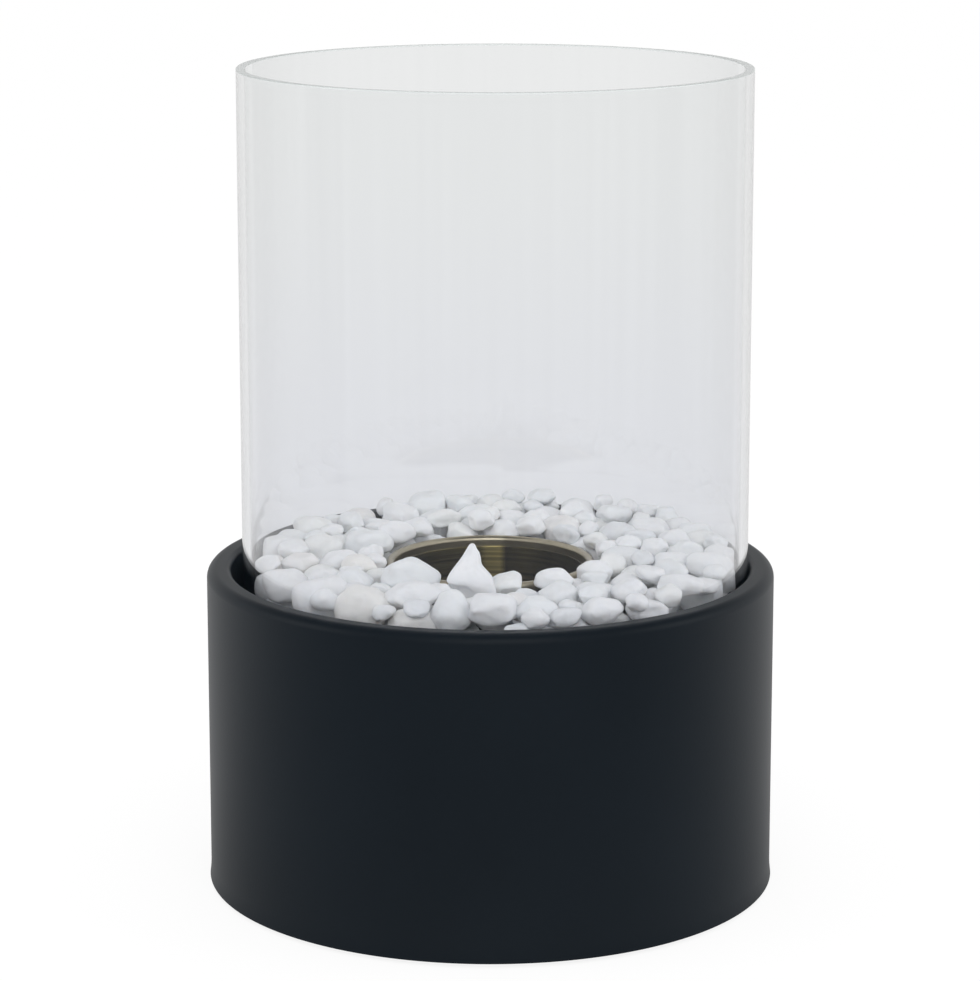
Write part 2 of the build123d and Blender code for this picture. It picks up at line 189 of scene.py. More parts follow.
def turn(name, outline, steps=192, middle=(0.0, 0.0), smooth=35.0):
    """A turned piece: its closed outline of radius and height is drawn point by point and spun round. Its
    large faces keep their own normals, so that a long wall beside a rounded edge still looks straight."""
    x, y = middle
    settle()
    radius, height = outline[0]
    bpy.ops.mesh.primitive_plane_add(size=MM, enter_editmode=True, location=(0, 0, 0))
    bpy.ops.mesh.merge(type="CENTER")
    bpy.ops.transform.translate(value=(x + radius, y, height))
    for (r_from, z_from), (r_to, z_to) in zip(outline, outline[1:] + outline[:1]):
        bpy.ops.mesh.extrude_region_move(TRANSFORM_OT_translate={"value": (r_to - r_from, 0, z_to - z_from)})
    bpy.ops.mesh.select_all(action="SELECT")
    bpy.ops.mesh.remove_doubles(threshold=0.001 * MM)
    bpy.ops.mesh.select_all(action="SELECT")
    bpy.ops.mesh.spin(steps=steps, angle=math.tau, center=(x, y, 0), axis=(0, 0, 1))
    bpy.ops.mesh.select_all(action="SELECT")
    bpy.ops.mesh.remove_doubles(threshold=0.001 * MM)
    bpy.ops.mesh.select_all(action="SELECT")
    bpy.ops.mesh.normals_make_consistent(inside=False)
    bpy.ops.object.mode_set(mode="OBJECT")
    piece = bpy.context.object
    piece.name = piece.data.name = name
    bpy.ops.object.shade_smooth_by_angle(angle=math.radians(smooth))
    straight = piece.modifiers.new("straight", "WEIGHTED_NORMAL")
    straight.keep_sharp = True
    bpy.ops.object.modifier_apply(modifier=straight.name)
    return piece


def wear(piece, material, body, *nodes):
    """Give a finished piece its material and its body, and hide the solids that it stands for."""
    piece.data.materials.clear()
    piece.data.materials.append(material)
    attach(piece, body)
    if nodes:
        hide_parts(*nodes)
    return piece


def dress(names, material):
    """Give solids that stay as they are their material."""
    for name in names:
        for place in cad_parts[name].material_slots:
            place.material = material


def add(tree, kind, inputs=None, **settings):
    """Add one node; each input is a value or the output that feeds it."""
    made = tree.nodes.new(kind)
    for name, value in settings.items():
        setattr(made, name, value)
    for key, value in (inputs or {}).items():
        if isinstance(value, bpy.types.NodeSocket):
            tree.links.new(value, made.inputs[key])
        else:
            made.inputs[key].default_value = value
    return made


def new_material(name, **inputs):
    """A material with one surface shader, whose constant values are set on the shader itself."""
    made = bpy.data.materials.new(name)
    made.use_nodes = True
    tree = made.node_tree
    tree.nodes.clear()
    shader = add(tree, "ShaderNodeBsdfPrincipled", {key.replace("_", " "): v for key, v in inputs.items()})
    add(tree, "ShaderNodeOutputMaterial", {"Surface": shader.outputs[0]})
    return made, tree, shader


def opaque(colour):
    """A colour with full alpha."""
    return tuple(colour)[:3] + (1.0,)


def shaded(colour, amount):
    """The same colour, darker or lighter."""
    return tuple(min(1.0, c * amount) for c in tuple(colour)[:3]) + (1.0,)


# Depths of the patterns in the surfaces, and sizes that no user would change
COAT_DEPTH = 0.03 * MM
COAT_PATCH = 60 * MM
SCRATCH_DEPTH = 0.02 * MM
LINE_DEPTH = 0.03 * MM
GRAIN_DEPTH = 0.03 * MM
FIBRE_DEPTH = 0.3 * MM
DENT_DEPTH = 0.9 * MM
PIT_DEPTH = 0.06 * MM
# Real scratches of ground glass and the grain of rubber are about 0.1 mm wide. Both are drawn coarser, so
# that they show
SCRATCH = 0.5 * MM
RUBBER_GRAIN = 0.4 * MM


def powder_coat(name, colour, grain, roughness, specular):
    """Powder coat baked on steel: fine shallow dimples from the flow of the powder, a dull even gloss and
    a lighter sheen where the eye grazes it."""
    made, tree, shader = new_material(name, Roughness=roughness, Specular_IOR_Level=specular)
    place = add(tree, "ShaderNodeTexCoord").outputs["Object"]
    dimples = add(tree, "ShaderNodeTexNoise", {"Vector": place, "Scale": 1 / grain, "Detail": 2.0})
    patches = add(tree, "ShaderNodeTexNoise", {"Vector": place, "Scale": 1 / COAT_PATCH, "Detail": 3.0})
    bump = add(tree, "ShaderNodeBump", {
        "Height": dimples.outputs[0], "Distance": COAT_DEPTH, "Strength": 0.7})
    tone = add(tree, "ShaderNodeMix", {
        "Factor": patches.outputs[0], 6: shaded(colour, 0.85), 7: shaded(colour, 1.2)}, data_type="RGBA")
    tree.links.new(tone.outputs[2], shader.inputs["Base Color"])
    tree.links.new(bump.outputs[0], shader.inputs["Normal"])
    return made


# A drawing streak is this many times as long as it is wide
STREAK_LENGTH = 60
# How far the tube's wall is turned from the eye, from 0 to 1: over the first range its colour darkens, down
# to
# SIDE_TONE, as painted shade in place of the dark reflections near the tube's sides, and over the second, at
# its very side, it is clear again
SIDE_DARKENS = (0.2, 0.62)
SIDE_CLEARS = (0.64, 0.76)
SIDE_TONE = 0.9


def clear_glass(name, tint, low_tint, streak):
    """Drawn borosilicate tube, polished: nearly clear, with faint upright streaks from the drawing. Lamps
    shine through it, as they do through real glass."""
    made, tree, shader = new_material(name, Roughness=0.0, IOR=1.47, Transmission_Weight=1.0)
    place = add(tree, "ShaderNodeTexCoord").outputs["Object"]
    stretched = add(tree, "ShaderNodeMapping", {
        "Vector": place, "Scale": (1 / streak, 1 / streak, 1 / (STREAK_LENGTH * streak))})
    streaks = add(tree, "ShaderNodeTexNoise", {"Vector": stretched.outputs[0], "Scale": 1.0, "Detail": 3.0})
    height = add(tree, "ShaderNodeSeparateXYZ", {0: place}).outputs["Z"]
    rise = add(tree, "ShaderNodeMapRange", {
        "Value": height, "From Min": shell_high.z, "From Max": glass_high.z}, interpolation_type="SMOOTHSTEP")
    body = add(tree, "ShaderNodeMix", {
        "Factor": rise.outputs[0], 6: opaque(low_tint), 7: opaque(tint)}, data_type="RGBA")
    shade = add(tree, "ShaderNodeMapRange", {
        "Value": streaks.outputs[0], "From Min": 0.3, "From Max": 0.7, "To Min": 0.985, "To Max": 1.0})
    # Painted shade: the colour darkens towards the tube's sides, in place of dark reflections there
    turned = add(tree, "ShaderNodeLayerWeight", {"Blend": 0.5}).outputs["Facing"]
    band = add(tree, "ShaderNodeMapRange", {
        "Value": turned, "From Min": SIDE_DARKENS[0], "From Max": SIDE_DARKENS[1],
        "To Min": 1.0, "To Max": SIDE_TONE})
    clear = add(tree, "ShaderNodeMapRange", {
        "Value": turned, "From Min": SIDE_CLEARS[0], "From Max": SIDE_CLEARS[1],
        "To Min": 0.0, "To Max": 1.0})
    side = add(tree, "ShaderNodeMath", {0: band.outputs[0], 1: clear.outputs[0]}, operation="MAXIMUM")
    light = add(tree, "ShaderNodeMath", {0: side.outputs[0], 1: shade.outputs[0]}, operation="MULTIPLY")
    tone = add(tree, "ShaderNodeVectorMath", {
        0: body.outputs[2], "Scale": light.outputs[0]}, operation="SCALE")
    tree.links.new(tone.outputs[0], shader.inputs["Base Color"])
    lamps = add(tree, "ShaderNodeLightPath").outputs["Is Shadow Ray"]
    through = add(tree, "ShaderNodeBsdfTransparent", {"Color": linear("FEFEFE")})
    both = add(tree, "ShaderNodeMixShader", {0: lamps, 1: shader.outputs[0], 2: through.outputs[0]})
    output = next(n for n in tree.nodes if n.type == "OUTPUT_MATERIAL")
    tree.links.new(both.outputs[0], output.inputs["Surface"])
    return made


def ground_glass(name, tint):
    """The tube's ends, ground flat and half polished: a dull greenish edge."""
    made, tree, shader = new_material(
        name, Base_Color=opaque(tint), Roughness=0.25, IOR=1.47, Transmission_Weight=0.4)
    place = add(tree, "ShaderNodeTexCoord").outputs["Object"]
    scratches = add(tree, "ShaderNodeTexNoise", {"Vector": place, "Scale": 1 / SCRATCH, "Detail": 2.0})
    bump = add(tree, "ShaderNodeBump", {
        "Height": scratches.outputs[0], "Distance": SCRATCH_DEPTH, "Strength": 0.4})
    tree.links.new(bump.outputs[0], shader.inputs["Normal"])
    return made


# Painted glints of turned steel, which stand in for the reflections of lamps and room on a turned wall:
# share of a turn from -X, and light
PAINTED_GLINTS = (
    (0.02, 0.45), (0.22, 0.9), (0.26, 1.6), (0.3, 0.8), (0.48, 0.45), (0.64, 0.55), (0.69, 0.85),
    (0.724, 0.6), (0.733, 1.7), (0.757, 1.5), (0.768, 0.95), (0.85, 0.85), (0.93, 0.5))
# Waves in a ring, per metre across
RING_WAVES = 12.0


def turned_steel(name, colour, line, roughness, streaks=0.3, low=0.86, high=1.12):
    """Stainless steel turned on a lathe: fine rings at an even pitch, and soft upright streaks of painted
    glints that stand in for the reflections of lamps and room on a turned wall. Streaks of 0 leave it even,
    higher ones make the painted glints part light and dark."""
    made, tree, shader = new_material(name, Metallic=1.0, Roughness=roughness)
    place = add(tree, "ShaderNodeTexCoord").outputs["Object"]
    rings = add(tree, "ShaderNodeMapping", {"Vector": place, "Scale": (RING_WAVES, RING_WAVES, 1 / line)})
    noise = add(tree, "ShaderNodeTexNoise", {
        "Vector": rings.outputs[0], "Scale": 1.0, "Detail": 4.0, "Roughness": 0.7})
    # Painted glints: the colour is made lighter and darker by the angle around the axis, in place of
    # reflections
    round_it = add(tree, "ShaderNodeTexGradient", {"Vector": place}, gradient_type="RADIAL")
    painted_glints = add(tree, "ShaderNodeValToRGB", {0: round_it.outputs[0]})
    for end in painted_glints.color_ramp.elements:
        end.color = (PAINTED_GLINTS[0][1] ** streaks,) * 3 + (1.0,)
    for stop, light in PAINTED_GLINTS:
        painted_glints.color_ramp.elements.new(stop).color = (light ** streaks,) * 3 + (1.0,)
    lines = add(tree, "ShaderNodeMapRange", {"Value": noise.outputs[0], "From Min": 0.33, "From Max": 0.67})
    own = add(tree, "ShaderNodeVectorMath", {
        0: tuple(colour)[:3], 1: painted_glints.outputs[0]}, operation="MULTIPLY")
    dull = add(tree, "ShaderNodeVectorMath", {0: own.outputs[0], "Scale": low}, operation="SCALE")
    clean = add(tree, "ShaderNodeVectorMath", {0: own.outputs[0], "Scale": high}, operation="SCALE")
    tone = add(tree, "ShaderNodeMix", {
        "Factor": lines.outputs[0], 6: dull.outputs[0], 7: clean.outputs[0]}, data_type="RGBA")
    bump = add(tree, "ShaderNodeBump", {"Height": lines.outputs[0], "Distance": LINE_DEPTH, "Strength": 0.5})
    tree.links.new(tone.outputs[2], shader.inputs["Base Color"])
    tree.links.new(bump.outputs[0], shader.inputs["Normal"])
    return made


def zinc_plate(name, colour, spangle, roughness):
    """Zinc-plated steel: a cool grey with soft cloudy patches."""
    made, tree, shader = new_material(name, Metallic=1.0)
    place = add(tree, "ShaderNodeTexCoord").outputs["Object"]
    clouds = add(tree, "ShaderNodeTexNoise", {"Vector": place, "Scale": 1 / spangle, "Detail": 4.0})
    tone = add(tree, "ShaderNodeMix", {
        "Factor": clouds.outputs[0], 6: shaded(colour, 0.8), 7: shaded(colour, 1.1)}, data_type="RGBA")
    rough = add(tree, "ShaderNodeMapRange", {
        "Value": clouds.outputs[0], "To Min": roughness - 0.08, "To Max": roughness + 0.08})
    tree.links.new(tone.outputs[2], shader.inputs["Base Color"])
    tree.links.new(rough.outputs[0], shader.inputs["Roughness"])
    return made


def moulded_rubber(name, colour):
    """Nitrile rubber from a mould: matt, nearly black, with a fine grain."""
    made, tree, shader = new_material(name, Base_Color=opaque(colour), Roughness=0.75, Specular_IOR_Level=0.3)
    place = add(tree, "ShaderNodeTexCoord").outputs["Object"]
    grain = add(tree, "ShaderNodeTexNoise", {"Vector": place, "Scale": 1 / RUBBER_GRAIN, "Detail": 2.0})
    bump = add(tree, "ShaderNodeBump", {"Height": grain.outputs[0], "Distance": GRAIN_DEPTH, "Strength": 0.5})
    tree.links.new(bump.outputs[0], shader.inputs["Normal"])
    return made


def mineral_fibre(name, colour, strand):
    """Pressed mineral wool: matt and off-white, with long thin fibres that lie every way. Real ones are about
    0.01 mm thick. They are drawn coarser, so that they show."""
    made, tree, shader = new_material(name, Roughness=0.95, Specular_IOR_Level=0.1)
    place = add(tree, "ShaderNodeTexCoord").outputs["Object"]
    fibres = add(tree, "ShaderNodeTexNoise", {
        "Vector": place, "Scale": 1 / strand, "Detail": 6.0, "Roughness": 0.75, "Distortion": 1.5})
    tone = add(tree, "ShaderNodeMix", {
        "Factor": fibres.outputs[0], 6: shaded(colour, 0.75), 7: shaded(colour, 1.1)}, data_type="RGBA")
    bump = add(tree, "ShaderNodeBump", {
        "Height": fibres.outputs[0], "Distance": FIBRE_DEPTH, "Strength": 0.7})
    tree.links.new(tone.outputs[2], shader.inputs["Base Color"])
    tree.links.new(bump.outputs[0], shader.inputs["Normal"])
    return made


def tumbled_marble(name, cloud, dent, pit):
    """White marble worn round in a drum: matt wax gloss, shallow dents, soft grey clouds, light that sinks in
    a little, and a tint of its own for each pebble."""
    made, tree, shader = new_material(
        name, Roughness=0.55, Specular_IOR_Level=0.3, Subsurface_Weight=0.15,
        Subsurface_Radius=(3 * MM, 2.6 * MM, 2.2 * MM), Subsurface_Scale=1.0)
    place = add(tree, "ShaderNodeTexCoord").outputs["Object"]
    tint = add(tree, "ShaderNodeAttribute", attribute_name="tint").outputs["Color"]
    own = add(tree, "ShaderNodeAttribute", attribute_name="own").outputs["Fac"]
    clouds = add(tree, "ShaderNodeTexNoise", {
        "Vector": place, "W": own, "Scale": 1 / cloud, "Detail": 5.0, "Distortion": 0.6},
        noise_dimensions="4D")
    grey = add(tree, "ShaderNodeMapRange", {
        "Value": clouds.outputs[0], "From Min": 0.5, "From Max": 0.8, "To Min": 1.0, "To Max": 0.88})
    tone = add(tree, "ShaderNodeVectorMath", {0: tint, "Scale": grey.outputs[0]}, operation="SCALE")
    dents = add(tree, "ShaderNodeTexNoise", {"Vector": place, "Scale": 1 / dent, "Detail": 1.0})
    worn = add(tree, "ShaderNodeBump", {"Height": dents.outputs[0], "Distance": DENT_DEPTH, "Strength": 0.6})
    pits = add(tree, "ShaderNodeTexNoise", {"Vector": place, "Scale": 1 / pit, "Detail": 3.0})
    bump = add(tree, "ShaderNodeBump", {
        "Height": pits.outputs[0], "Distance": PIT_DEPTH, "Strength": 0.4, "Normal": worn.outputs[0]})
    tree.links.new(tone.outputs[0], shader.inputs["Base Color"])
    tree.links.new(bump.outputs[0], shader.inputs["Normal"])
    return made


def shell_outline(base):
    """Outline of the housing: swollen foot, wall, shoulder, lip, wall of the recess and the same inside."""
    wall = shell_high.x - base.flare_out
    opening = wall - base.lip_width
    low, top, sheet, cut = shell_low.z, shell_high.z, base.sheet, base.cut_edge

    def foot(offset):
        """The wall's swell, from the bottom up; it leaves the wall smoothly."""
        steps = 6
        start = cut / base.flare_height
        shares = [start + (1 - start) * i / steps for i in range(steps + 1)]
        return [(wall - offset + base.flare_out * (1 - s) ** 2, low + base.flare_height * s) for s in shares]

    def bend(less):
        """Shoulder and lip edge, from the outside inwards."""
        shoulder = arc((wall - base.shoulder, top - base.shoulder), base.shoulder - less, 0, 90)
        return shoulder + arc((opening + base.lip_edge, top - base.lip_edge), base.lip_edge - less, 90, 180)

    edge = shell_high.x
    outside = arc((edge - cut, low + cut), cut, -90, 0, 4)[:-1] + foot(0) + bend(0) + [(opening, pan_top)]
    inside = [(opening + sheet, pan_top)] + bend(sheet)[::-1] + foot(sheet)[::-1]
    return outside + inside + arc((edge - sheet + cut, low + cut), cut, 180, 270, 4)[1:]


class FIRE_OT_base(bpy.types.Operator):
    """Make the painted housing"""
    bl_idname = "fireplace.base"
    bl_label = "Base housing"

    def execute(self, context):
        base = context.scene.fire_base
        paint = powder_coat("Powder-coated steel, satin black", base.paint, base.grain, 0.42, 0.15)
        shell = turn("base_housing", shell_outline(base), 256)
        wear(shell, paint, "base", "base_shell")
        return {"FINISHED"}


def tube_outline(inner, outer, low, high, rounding, steps=4):
    """Outline of a tube whose four edges are rounded."""
    return (arc((outer - rounding, low + rounding), rounding, -90, 0, steps)
            + arc((outer - rounding, high - rounding), rounding, 0, 90, steps)
            + arc((inner + rounding, high - rounding), rounding, 90, 180, steps)
            + arc((inner + rounding, low + rounding), rounding, 180, 270, steps))


# Rounding of the gasket's edges
GASKET_EDGE = 0.4 * MM


class FIRE_OT_glass(bpy.types.Operator):
    """Make the glass cylinder and the ring that it stands on"""
    bl_idname = "fireplace.glass"
    bl_label = "Glass cylinder"

    def execute(self, context):
        glass = context.scene.fire_glass
        outline = tube_outline(
            glass_radius - glass.wall, glass_radius, glass_low.z, glass_high.z, glass.rounding)
        tube = turn("glass_tube", outline, 256, glass_middle)
        wear(tube, clear_glass("Borosilicate glass, polished", glass.tint, glass.low_tint, glass.streak),
             "glass", "glass_cylinder")
        tube.data.materials.append(ground_glass("Borosilicate glass, ground edge", glass.edge_tint))
        for face in tube.data.polygons:
            height = face.center.z
            wall = glass_low.z + glass.rounding < height < glass_high.z - glass.rounding
            face.material_index = 0 if wall else 1
        inner = glass_radius - glass.wall - (gasket_high.x - glass_high.x)
        outline = tube_outline(
            inner, gasket_high.x - glass_middle[0], gasket_low.z, gasket_high.z, GASKET_EDGE)
        ring = turn("gasket_ring", outline, 192, glass_middle)
        wear(ring, mineral_fibre("Ceramic fibre, pressed", linear("C9C4B8"), 0.8 * MM),
             "base", "glass_gasket")
        return {"FINISHED"}


def cup_outline(burner):
    """Outline of the cup from the middle of its underside, out, over the rolled rim and down inside."""
    rim = cup_high.x
    roll = burner.roll
    middle = (rim - roll, cup_high.z - roll)
    bore = rim - 2 * roll
    outside = bore + burner.sheet
    low = cup_low.z
    corner = burner.corner + burner.sheet
    seam = math.degrees(math.acos((outside - middle[0]) / roll))
    return ([(0.0, low)] + arc((outside - corner, low + corner), corner, -90, 0, 6)
            + arc(middle, roll, -seam, 180, 20)
            + arc((bore - burner.corner, low + corner), burner.corner, 0, -90, 6)
            + [(0.0, low + burner.sheet)])


# Sheet and edge of the collar, rounding of the pad's edge, and width of the tufts on it
COLLAR_SHEET, COLLAR_EDGE = 0.6 * MM, 0.25 * MM
PAD_EDGE = 3 * MM
TUFT = 4 * MM


class FIRE_OT_burner(bpy.types.Operator):
    """Make the fuel cup with its collar and fibre pad, and dress its screen and holder"""
    bl_idname = "fireplace.burner"
    bl_label = "Burner"

    def execute(self, context):
        burner = context.scene.fire_burner
        # Cup, screen and holder carry mild painted glints by the angle around the axis
        steel = turned_steel("Stainless steel, turned", burner.steel, burner.line, 0.3)
        cup = turn("fuel_cup", cup_outline(burner), 192)
        wear(cup, steel, "burner", "burner_cup")
        outer = liner_high.x
        collar = turn("cup_collar", tube_outline(
            outer - COLLAR_SHEET, outer, liner_low.z, liner_high.z, COLLAR_EDGE), 192)
        # The collar's olive colour is the flame's stain; its strong upright light streaks are painted glints
        # in place of reflections
        stained = turned_steel("Stainless steel, heat-stained, with painted glints", burner.stained, burner.line, 0.35,
                               streaks=2.4, low=0.4, high=1.6)
        wear(collar, stained, "burner", "burner_liner")
        self.pad(burner)
        dress(["wool_screen"], turned_steel("Stainless steel, perforated", linear("8C887E"), 1.2 * MM, 0.4))
        dress(["burner_holder"], turned_steel("Mild steel, mill finish", linear("6A6967"), 2.0 * MM, 0.5))
        return {"FINISHED"}

    def pad(self, burner):
        """Fibre pad with a tufted skin, under the screen."""
        radius, low_edge, top_edge = wool_high.x, PAD_EDGE, PAD_EDGE / 2
        outline = ([(0.0, wool_low.z)] + arc((radius - low_edge, wool_low.z + low_edge), low_edge, -90, 0, 5)
                   + arc((radius - top_edge, wool_high.z - top_edge), top_edge, 0, 90, 4)
                   + [(radius * s, wool_high.z) for s in (0.85, 0.7, 0.55, 0.4, 0.25, 0.12, 0.0)])
        pad = turn("fibre_pad", outline, 96)
        pick(pad)
        tufts = bpy.data.textures.new("tufts", "CLOUDS")
        tufts.noise_scale = TUFT
        swell = pad.modifiers.new("tufts", "DISPLACE")
        swell.texture, swell.strength, swell.mid_level = tufts, burner.pad_swell, 1.0
        bpy.ops.object.modifier_apply(modifier=swell.name)
        wear(pad, mineral_fibre("Mineral wool, pressed", linear("DAD6CC"), 1.2 * MM), "burner", "fuel_wool")


def corners_of(mesh):
    """Corners of a mesh, as rows of three numbers."""
    corners = np.empty(len(mesh.vertices) * 3)
    mesh.vertices.foreach_get("co", corners)
    return corners.reshape(-1, 3)


def solids_of(node):
    """Middle, axes and half lengths of each solid in a node, from its corners that edges join."""
    mesh = node.data
    corners = corners_of(mesh)
    edges = np.empty(len(mesh.edges) * 2, int)
    mesh.edges.foreach_get("vertices", edges)
    first, second = edges.reshape(-1, 2).T
    label = np.arange(len(corners))
    while True:
        before = label.copy()
        lower = np.minimum(label[first], label[second])
        np.minimum.at(label, first, lower)
        np.minimum.at(label, second, lower)
        label = label[label]
        if np.array_equal(label, before):
            break
    found = []
    for number in np.unique(label):
        own = corners[label == number]
        middle = (own.min(0) + own.max(0)) / 2
        axes = np.linalg.eigh((own - middle).T @ (own - middle))[1]
        if np.linalg.det(axes) < 0:
            axes[:, 0] *= -1
        half = np.abs((own - middle) @ axes).max(0)
        found.append((middle, axes, half))
    return sorted(found, key=lambda solid: tuple(solid[0]))


def drawn_out(corners):
    """Corners of a pebble that narrows to a blunt tip, steeply on its right, over a broad foot."""
    def rise(low, high):
        share = np.clip((corners[:, 2] - low) / (high - low), 0, 1)
        return share * share * (3 - 2 * share)

    drawn = corners.copy()
    drawn[:, 1] *= 1 - 0.6 * rise(-0.4, 0.8)
    steep, gentle = 1 - 0.66 * rise(-0.2, 0.35), 1 - 0.55 * rise(-0.35, 0.9)
    drawn[:, 0] *= np.where(drawn[:, 0] > 0, steep, gentle) * (1.4 - 0.4 * rise(-0.85, 0.0))
    return drawn


# Shares of the radius: unevenness of the rough ball, how far out flats are cut, the same for the sides of the
# blocks that every second form is, and how far those sides lean
ROUGH = 0.07
FLAT_CUTS = (0.76, 0.95)
SIDE_CUTS = (0.68, 0.86)
LEAN = 0.22
# How far wear smooths a form, and the sizes of lumps on it
WEAR = 1.5
LUMP_SIZES = (0.6, 1.0)
# Voxels of the pebbles in view, of the buried ones and of the pointed one
FINE, PLAIN, SHARP = 0.13, 0.22, 0.09


def pebble_form(number, draw, voxel, pointed=False):
    """One form of pebble about a ball of radius 1: flats are cut off it, then it is worn smooth."""
    settle()
    bpy.ops.mesh.primitive_ico_sphere_add(subdivisions=3, radius=1.0, enter_editmode=True)
    bpy.ops.transform.vertex_random(offset=ROUGH, uniform=0.0, normal=0.0, seed=draw.randrange(1000))
    fewest, most = bpy.context.scene.fire_pebbles.flats
    cuts = [(Vector((draw.gauss(0, 1), draw.gauss(0, 1), draw.gauss(0, 1))).normalized(),
             draw.uniform(*FLAT_CUTS)) for _ in range(draw.randint(fewest, most))]
    if number % 2:
        for side in (Vector((1, 0, 0)), Vector((0, 1, 0)), Vector((0, 0, 1))):
            for facing in (side, -side):
                lean = Vector((draw.gauss(0, LEAN), draw.gauss(0, LEAN), draw.gauss(0, LEAN)))
                cuts.append(((facing + lean).normalized(), draw.uniform(*SIDE_CUTS)))
    for normal, distance in cuts:
        bpy.ops.mesh.select_all(action="SELECT")
        bpy.ops.mesh.bisect(plane_co=normal * distance, plane_no=normal, use_fill=True, clear_outer=True)
    bpy.ops.object.mode_set(mode="OBJECT")
    form = bpy.context.object
    form.name = form.data.name = "form_" + str(number)
    even = form.modifiers.new("even", "REMESH")
    even.mode, even.voxel_size, even.use_smooth_shade = "VOXEL", voxel, True
    clouds = bpy.data.textures.new("lumps", "CLOUDS")
    clouds.noise_scale, clouds.noise_depth = draw.uniform(*LUMP_SIZES), 1
    lumps = form.modifiers.new("lumps", "DISPLACE")
    lumps.texture, lumps.strength, lumps.mid_level = clouds, bpy.context.scene.fire_pebbles.lumps, 0.5
    worn = form.modifiers.new("worn", "SMOOTH")
    worn.factor, worn.iterations = 0.5, int(round(WEAR / voxel))
    for modifier in (even, lumps, worn):
        bpy.ops.object.modifier_apply(modifier=modifier.name)
    corners = corners_of(form.data)
    if pointed:
        corners = drawn_out(corners)
        form.data.vertices.foreach_set("co", corners.ravel())
    middle, half = (corners.max(0) + corners.min(0)) / 2, (corners.max(0) - corners.min(0)) / 2
    form.data.transform(Matrix.Diagonal((*(1 / half), 1.0)) @ Matrix.Translation(-Vector(middle)))
    form.data.polygons.foreach_set("use_smooth", [True] * len(form.data.polygons))
    return form


# Tints of pebbles and how often each comes
PEBBLE_TINTS = (("F3F4F5", 14), ("F1F3F4", 8), ("F3F4F3", 5), ("EEF0F1", 4), ("EBEDEF", 2), ("F2F1EE", 1),
                ("F1F0EF", 1), ("E7E9EB", 1))
# A pebble is buried where its middle lies this far below the lip
BURIED = 9 * MM
# Two pebbles in front that stand out: where the middle of the pointed one and of the low one lies, seen from
# above, and how near to that a solid has to be
TIP_PLACE, TIP_REACH = (-6 * MM, -49 * MM), 6 * MM
LOW_PLACE, LOW_REACH = (0.0, -74 * MM), 3 * MM
# Share of its half height by which the low one sinks, and share of it that it keeps
LOW_SINKS, LOW_KEEPS = 0.35, 0.65


def stands_at(middle, place, reach):
    """Whether a pebble above the lip stands at a place."""
    return math.hypot(middle[0] - place[0], middle[1] - place[1]) < reach and middle[2] > shell_high.z


def stood_up(axes, half):
    """A solid's axes and half lengths in a new order: the one most to the right, the one left over and the
    most upright one. They point right, away from the camera and up, as the drawn-out form does."""
    upright = int(np.argmax(np.abs(axes[2])))
    across = max((i for i in range(3) if i != upright), key=lambda i: abs(axes[0, i]))
    order = [across, 3 - across - upright, upright]
    axes = axes[:, order]
    axes[:, 0] *= np.sign(axes[0, 0])
    axes[:, 2] *= np.sign(axes[2, 2])
    axes[:, 1] *= np.sign(np.linalg.det(axes))
    return axes, half[order]


